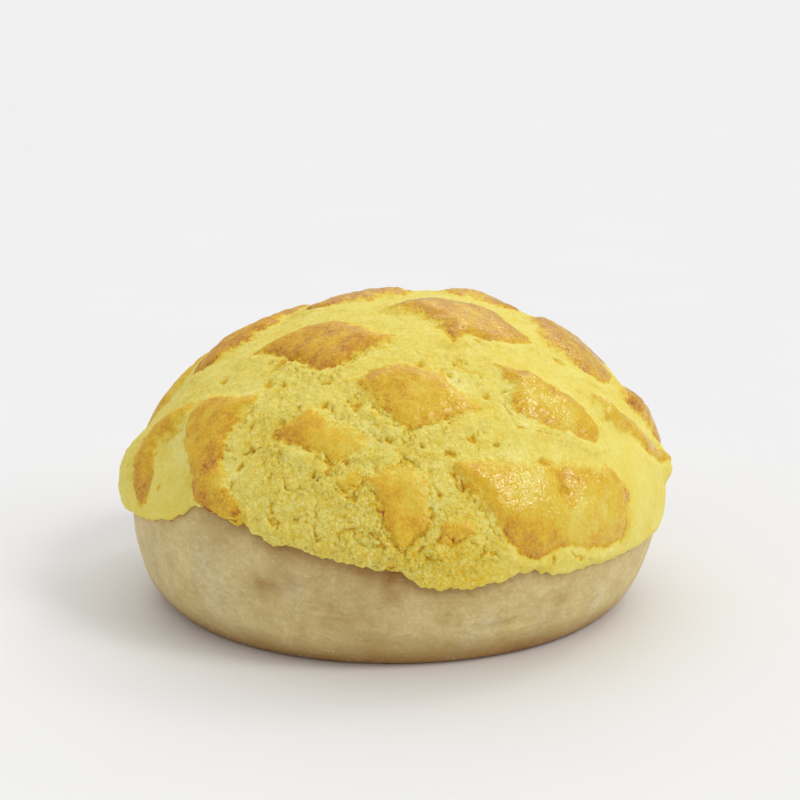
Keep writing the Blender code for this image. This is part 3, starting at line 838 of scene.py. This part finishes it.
class Paint:
    # one material and its nodes
    def __init__(self, name):
        self.material = bpy.data.materials.new(name)
        self.material.use_nodes = True
        self.tree = self.material.node_tree
        self.shader = self.tree.nodes["Principled BSDF"]

    def link(self, value, socket):
        # a wire is joined to the socket, and a plain value is set on it
        if isinstance(value, Wire):
            self.tree.links.new(value.socket, socket)
        else:
            socket.default_value = value

    def node(self, kind, settings, values):
        # a node of this type, its settings first, then its sockets by number or name
        made = self.tree.nodes.new(kind)
        for key, value in settings.items():
            if key == "stops":
                fillRamp(made.color_ramp, value)
            else:
                setattr(made, key, value)
        for key, value in values.items():
            socket = made.inputs[key] if isinstance(key, int) else socketNamed(made.inputs, key)
            self.link(value, socket)
        return NodeOut(self, made)

    def attribute(self, name):
        return self.node("ShaderNodeAttribute", {"attribute_name": name}, {}).out("Fac")

    def vector(self, operation, values):
        return self.node("ShaderNodeVectorMath", {"operation": operation}, values).out("Vector")

    def place(self, shake=0.0, size=1.0):
        # where the point lies on the piece, moved about by noise of the given size, both in millimetres
        place = self.node("ShaderNodeTexCoord", {}, {}).out("Object")
        if shake == 0.0:
            return place
        noise = self.node("ShaderNodeTexNoise", {}, {"Vector": place, "Scale": 1.0 / (size * mm)})
        middle = self.vector("SUBTRACT", {0: noise.out("Color"), 1: (0.5, 0.5, 0.5)})
        moved = self.vector("SCALE", {0: middle, "Scale": shake * mm})
        return self.vector("ADD", {0: place, 1: moved})

    def noise(self, size, detail=2.0, roughness=0.5, flatter=1.0):
        # cloudy noise from 0 to 1 with waves of the given size in millimetres, less high by flatter
        place = self.vector("MULTIPLY", {0: self.place(), 1: (1.0, 1.0, flatter)})
        return self.node("ShaderNodeTexNoise", {}, {
            "Vector": place, "Scale": 1.0 / (size * mm), "Detail": detail, "Roughness": roughness,
        }).out("Fac")

    def cells(self, size, feature="F1", shake=0.0):
        # distance to the nearest cell's spot, or to the border between cells, in cells
        return self.node("ShaderNodeTexVoronoi", {"feature": feature}, {
            "Vector": self.place(shake, size * 0.6), "Scale": 1.0 / (size * mm)}).out("Distance")

    def mix(self, factor, first, second):
        return self.node("ShaderNodeMix", {"data_type": "RGBA"}, {
            "Factor": factor, "A": first, "B": second}).out("Result")

    def ramp(self, factor, stops):
        return self.node("ShaderNodeValToRGB", {"stops": stops}, {"Fac": factor}).out("Color")

    def bump(self, height, distance, strength=1.0):
        return self.node("ShaderNodeBump", {}, {
            "Height": height, "Distance": distance * mm, "Strength": strength}).out("Normal")

    def finish(self, values):
        for key, value in values.items():
            self.link(value, self.shader.inputs[key])
        return self.material


def fillRamp(ramp, stops):
    # stops of (position, colour), in order
    while len(ramp.elements) < len(stops):
        ramp.elements.new(1.0)
    for element, (position, colour) in zip(ramp.elements, stops):
        element.position, element.color = position, colour


def screen(red, green, blue):
    # a colour as a screen shows it, 0 to 255, made linear: ((c + 0.055) / 1.055)^2.4
    return tuple(((c / 255 + 0.055) / 1.055) ** 2.4 for c in (red, green, blue)) + (1.0,)


crustFinish = {
    "stops": (
        (0.00, screen(243, 229, 136)), (0.13, screen(235, 218, 104)), (0.34, screen(229, 199, 62)),
        (0.52, screen(226, 182, 24)), (0.70, screen(211, 156, 22)), (0.86, screen(196, 134, 28)),
        (1.00, screen(156, 96, 26)),
    ),
    "speck": 0.45,  # sizes of the grain in millimetres
    "mottle": 1.1,
    "wrinkle": 1.6,
    "fineWrinkle": 0.48,
    "grain": 0.75,
    "smallGrain": 0.42,
    "hair": 2.6,
    "chip": 0.95,
    # how much darker the hollows are painted: painted shade
    "recessShadeDepth": 0.2,
    # how much darker the cracks are painted: mostly painted shade, partly their browned edges
    "crackShade": 0.5,
    "bumpDepth": 0.35,
    "roughCrumb": 0.86,
    "roughGlaze": 0.2,
    "shine": 0.58,
    "subsurface": 0.3,
    "subsurfaceScale": 0.0012,
}


def crustMaterial(name, subsurface):
    # bake picks the colour from a ramp, unsettled by grain, with painted shade in hollows, cracks, hair
    # cracks and chip grooves; crumb is grainy and matt with hair cracks, glaze is wrinkled and shines
    paint, look = Paint(name), crustFinish
    bake, ground, cover, glaze = (paint.attribute(key) for key in ("bake", "ground", "cover", "glaze"))
    crackFar, hollow, crumb = (paint.attribute(key) for key in ("crackFar", "hollow", "crumb"))
    speck = paint.noise(look["speck"], 1.0, 0.5)
    mottle = paint.noise(look["mottle"], 2.0, 0.6)
    wrinkle = (paint.noise(look["wrinkle"], 2.0, 0.42) - 0.5).math("ABSOLUTE") * 1.7
    wrinkle = wrinkle + paint.noise(look["fineWrinkle"], 0.0) * 0.45
    grains = paint.cells(look["grain"], shake=0.35)
    smallGrains = paint.cells(look["smallGrain"])
    unsettled = (speck - 0.5) * 0.4 + (mottle - 0.5) * 0.75
    covered = (cover + unsettled).between(0.2, 0.8)
    crack = 1.0 - (crackFar + unsettled * 0.35).between(0.03, 0.24)
    glaze = glaze * covered
    hair = 1.0 - paint.cells(look["hair"], "DISTANCE_TO_EDGE", shake=1.8).between(0.01, 0.08)
    hair = hair * paint.noise(3.2, 1.0).between(0.48, 0.58) * crumb.between(0.75, 1.05)
    # hollows drawn darker: painted shade
    depth = ground + (bake - ground) * covered + hollow * look["recessShadeDepth"]
    chips = 1.0 - paint.cells(look["chip"], "DISTANCE_TO_EDGE", shake=0.8).between(0.0, 0.14)
    chips = chips * crumb.between(0.25, 0.9) * paint.noise(2.2, 1.0).between(0.42, 0.56)
    # hair cracks, cracks and chip grooves drawn darker: painted shade, the cracks partly browned edges
    depth = depth + hair * 0.12 + crack * look["crackShade"] + chips * 0.07
    depth = depth + (speck - 0.5) * (bake * covered * 0.65 + crumb * crumb * 0.4 + 0.12)
    depth = depth + (mottle - 0.5) * (bake * covered * 0.32 + 0.15) + (grains - 0.45) * (crumb * 0.22)
    colour = paint.ramp(depth.clamp(), look["stops"])
    rough = glaze * (look["roughGlaze"] - look["roughCrumb"]) + look["roughCrumb"]
    rough = rough + (mottle - 0.5) * 0.2
    grainy = grains * -0.6 + smallGrains * -0.4 + speck * 0.3
    height = grainy * (crumb * 0.7 + 0.3) * (1.0 - glaze * 0.8) - hair * 0.22 - crack * 0.4
    height = height - chips * 0.2 + wrinkle * glaze * 0.9
    return paint.finish({
        "Base Color": colour,
        "Roughness": rough.clamp(),
        "Normal": paint.bump(height, look["bumpDepth"], 0.75),
        "Subsurface Weight": subsurface,
        "Subsurface Scale": look["subsurfaceScale"],
        "Subsurface Radius": (1.0, 0.6, 0.2),
        "Specular IOR Level": look["shine"],
    })


breadFinish = {
    "cream": screen(225, 205, 146),
    "shade": screen(194, 170, 106),
    # colour of toasted spots, and of the painted shade under the front rim and towards the foot
    "toastAndShadeColour": screen(160, 112, 50),
    # colour of flour specks and of painted glints on the folds
    "flourAndGlint": screen(240, 232, 204),
    # colour of the painted shadow under the crust's rim
    "rim": screen(174, 116, 50),
    "cloud": 5.0,  # sizes of the clouds and the grain in millimetres
    "fine": 0.7,
    "weave": 2.0,
    "fleck": 0.8,
    "bumpDepth": 0.22,
    "shine": 0.3,
    "subsurface": 0.25,
    "subsurfaceScale": 0.0015,
}


def breadMaterial():
    # cream clouded with shade, toasted in places and darker towards the foot as a browned base and painted
    # shade, with painted shadow under the rim, and specks of flour and painted glints
    paint, look = Paint("pale_bread_skin"), breadFinish
    toasted, underRim, pale = (paint.attribute(key) for key in ("toasted", "underRim", "pale"))
    cloud = paint.noise(look["cloud"], 2.0, 0.6)
    fine = paint.noise(look["fine"], 2.0, 0.5)
    weave = paint.noise(look["weave"], 2.0, 0.5, flatter=2.2)
    # short pale streaks: partly flour specks, partly painted glints on the fine folds
    flecks = paint.noise(look["fleck"], 1.0, 0.5, flatter=2.2).between(0.58, 0.70)
    flecks = flecks * paint.noise(4.0, 1.0).between(0.46, 0.60)
    tone = 0.55 + (cloud - 0.5) * 1.4 + (fine - 0.5) * 1.0 + (weave - 0.5) * 0.8
    colour = paint.mix(tone.clamp(), look["shade"], look["cream"])
    # toasted spots, with painted shade under the front rim and towards the foot
    colour = paint.mix((toasted * (0.7 + fine * 0.6)).clamp(), colour, look["toastAndShadeColour"])
    # painted shadow under the crust's rim
    colour = paint.mix(underRim, colour, look["rim"])
    # specks of flour and painted glints, and the paler places
    colour = paint.mix((flecks * 0.28 + pale * weave * 0.8).clamp(), colour, look["flourAndGlint"])
    return paint.finish({
        "Base Color": colour,
        "Roughness": (fine * 0.3 + 0.36).clamp(),
        "Normal": paint.bump(fine * 0.9 + weave * 1.0 + flecks * 0.2, look["bumpDepth"], 0.8),
        "Subsurface Weight": look["subsurface"],
        "Subsurface Scale": look["subsurfaceScale"],
        "Subsurface Radius": (1.0, 0.7, 0.4),
        "Specular IOR Level": look["shine"],
    })


studio = {
    "pixelLength": 1900.0,  # focal length in pixels of an 800 pixel frame
    "frame": 800.0,
    "sensor": 36.0,
    "pitch": 13.7,  # degrees down
    "distance": 365.9,  # millimetres along the view to the foot's middle
    "footPixel": (393.3, 583.1),
    "floorSize": 8.0,
    "floorColours": (screen(240, 240, 241), screen(236, 236, 237)),
    "floorClouds": 60.0,
    "world": (1.0, 0.995, 0.985, 1.0),
    "worldStrength": 0.51,
    "lamps": {
        "key": {"way": (0.70, -0.42, 0.58), "spread": 34.0, "strength": 0.54, "colour": (1.0, 0.99, 0.96)},
        "window": {"way": (0.60, -0.30, 0.75), "spread": 15.0, "strength": 0.54},
        "backWindow": {"way": (0.50, 0.42, 0.76), "spread": 15.0, "strength": 0.22},
        "top": {"way": (0.0, 0.52, 0.85), "spread": 70.0, "strength": 0.77},
        "fill": {"way": (-0.80, -0.35, 0.50), "spread": 80.0, "strength": 0.27},
    },
}


def makeStudio():
    # camera: the foot's middle lies at its pixel, at the given distance along the view
    camera = bpy.data.cameras.new("camera")
    camera.sensor_width = studio["sensor"]
    camera.lens = studio["pixelLength"] * studio["sensor"] / studio["frame"]
    camera.clip_start, camera.clip_end = 0.01, 50.0
    eye = bpy.data.objects.new("camera", camera)
    pitch = math.radians(studio["pitch"])
    forward = np.array([0.0, math.cos(pitch), -math.sin(pitch)])
    right = np.array([1.0, 0.0, 0.0])
    up = np.cross(right, forward)
    beside, above = (np.array(studio["footPixel"]) - studio["frame"] / 2) / studio["pixelLength"]
    place = -studio["distance"] * (forward + right * beside - up * above)
    place[:2] -= bunForm["boxMiddle"]
    eye.location = place * mm
    eye.rotation_euler = (math.pi / 2 - pitch, 0.0, 0.0)
    bpy.context.scene.collection.objects.link(eye)
    bpy.context.scene.camera = eye

    half = studio["floorSize"] / 2 / mm
    corners = np.array([(-half, -half, 0.0), (half, -half, 0.0), (half, half, 0.0), (-half, half, 0.0)])
    floor = makePiece("floor", corners, np.array([(0, 1, 2), (0, 2, 3)]), {})
    paint = Paint("pale_floor")
    floor.data.materials.append(paint.finish({
        "Base Color": paint.mix(paint.noise(studio["floorClouds"]), *studio["floorColours"]),
        "Roughness": 0.6,
    }))

    for name, lamp in studio["lamps"].items():
        light = bpy.data.lights.new(name, "SUN")
        light.angle, light.energy = math.radians(lamp["spread"]), lamp["strength"]
        light.color = lamp.get("colour", (1.0, 1.0, 1.0))
        holder = bpy.data.objects.new(name, light)
        holder.rotation_euler = Vector(lamp["way"]).to_track_quat("Z", "Y").to_euler()
        bpy.context.scene.collection.objects.link(holder)
    world = bpy.data.worlds.new("soft_room")
    world.use_nodes = True
    world.node_tree.nodes["Background"].inputs["Color"].default_value = studio["world"]
    world.node_tree.nodes["Background"].inputs["Strength"].default_value = studio["worldStrength"]
    bpy.context.scene.world = world
    print("camera, floor and lamps set")


crustPiece = makeCrust()
crumbPiece = makeLooseCrumbs()
crustPiece.data.materials.append(crustMaterial("glazed_sugar_crust", crustFinish["subsurface"]))
crumbPiece.data.materials.append(crustMaterial("loose_sugar_crumbs", 0.0))
for piece in (crustPiece, crumbPiece):
    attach(piece, "root")
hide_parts("sugar_crust")

breadPiece = makeBread()
breadPiece.data.materials.append(breadMaterial())
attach(breadPiece, "root")
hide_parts("bread_body")

makeStudio()
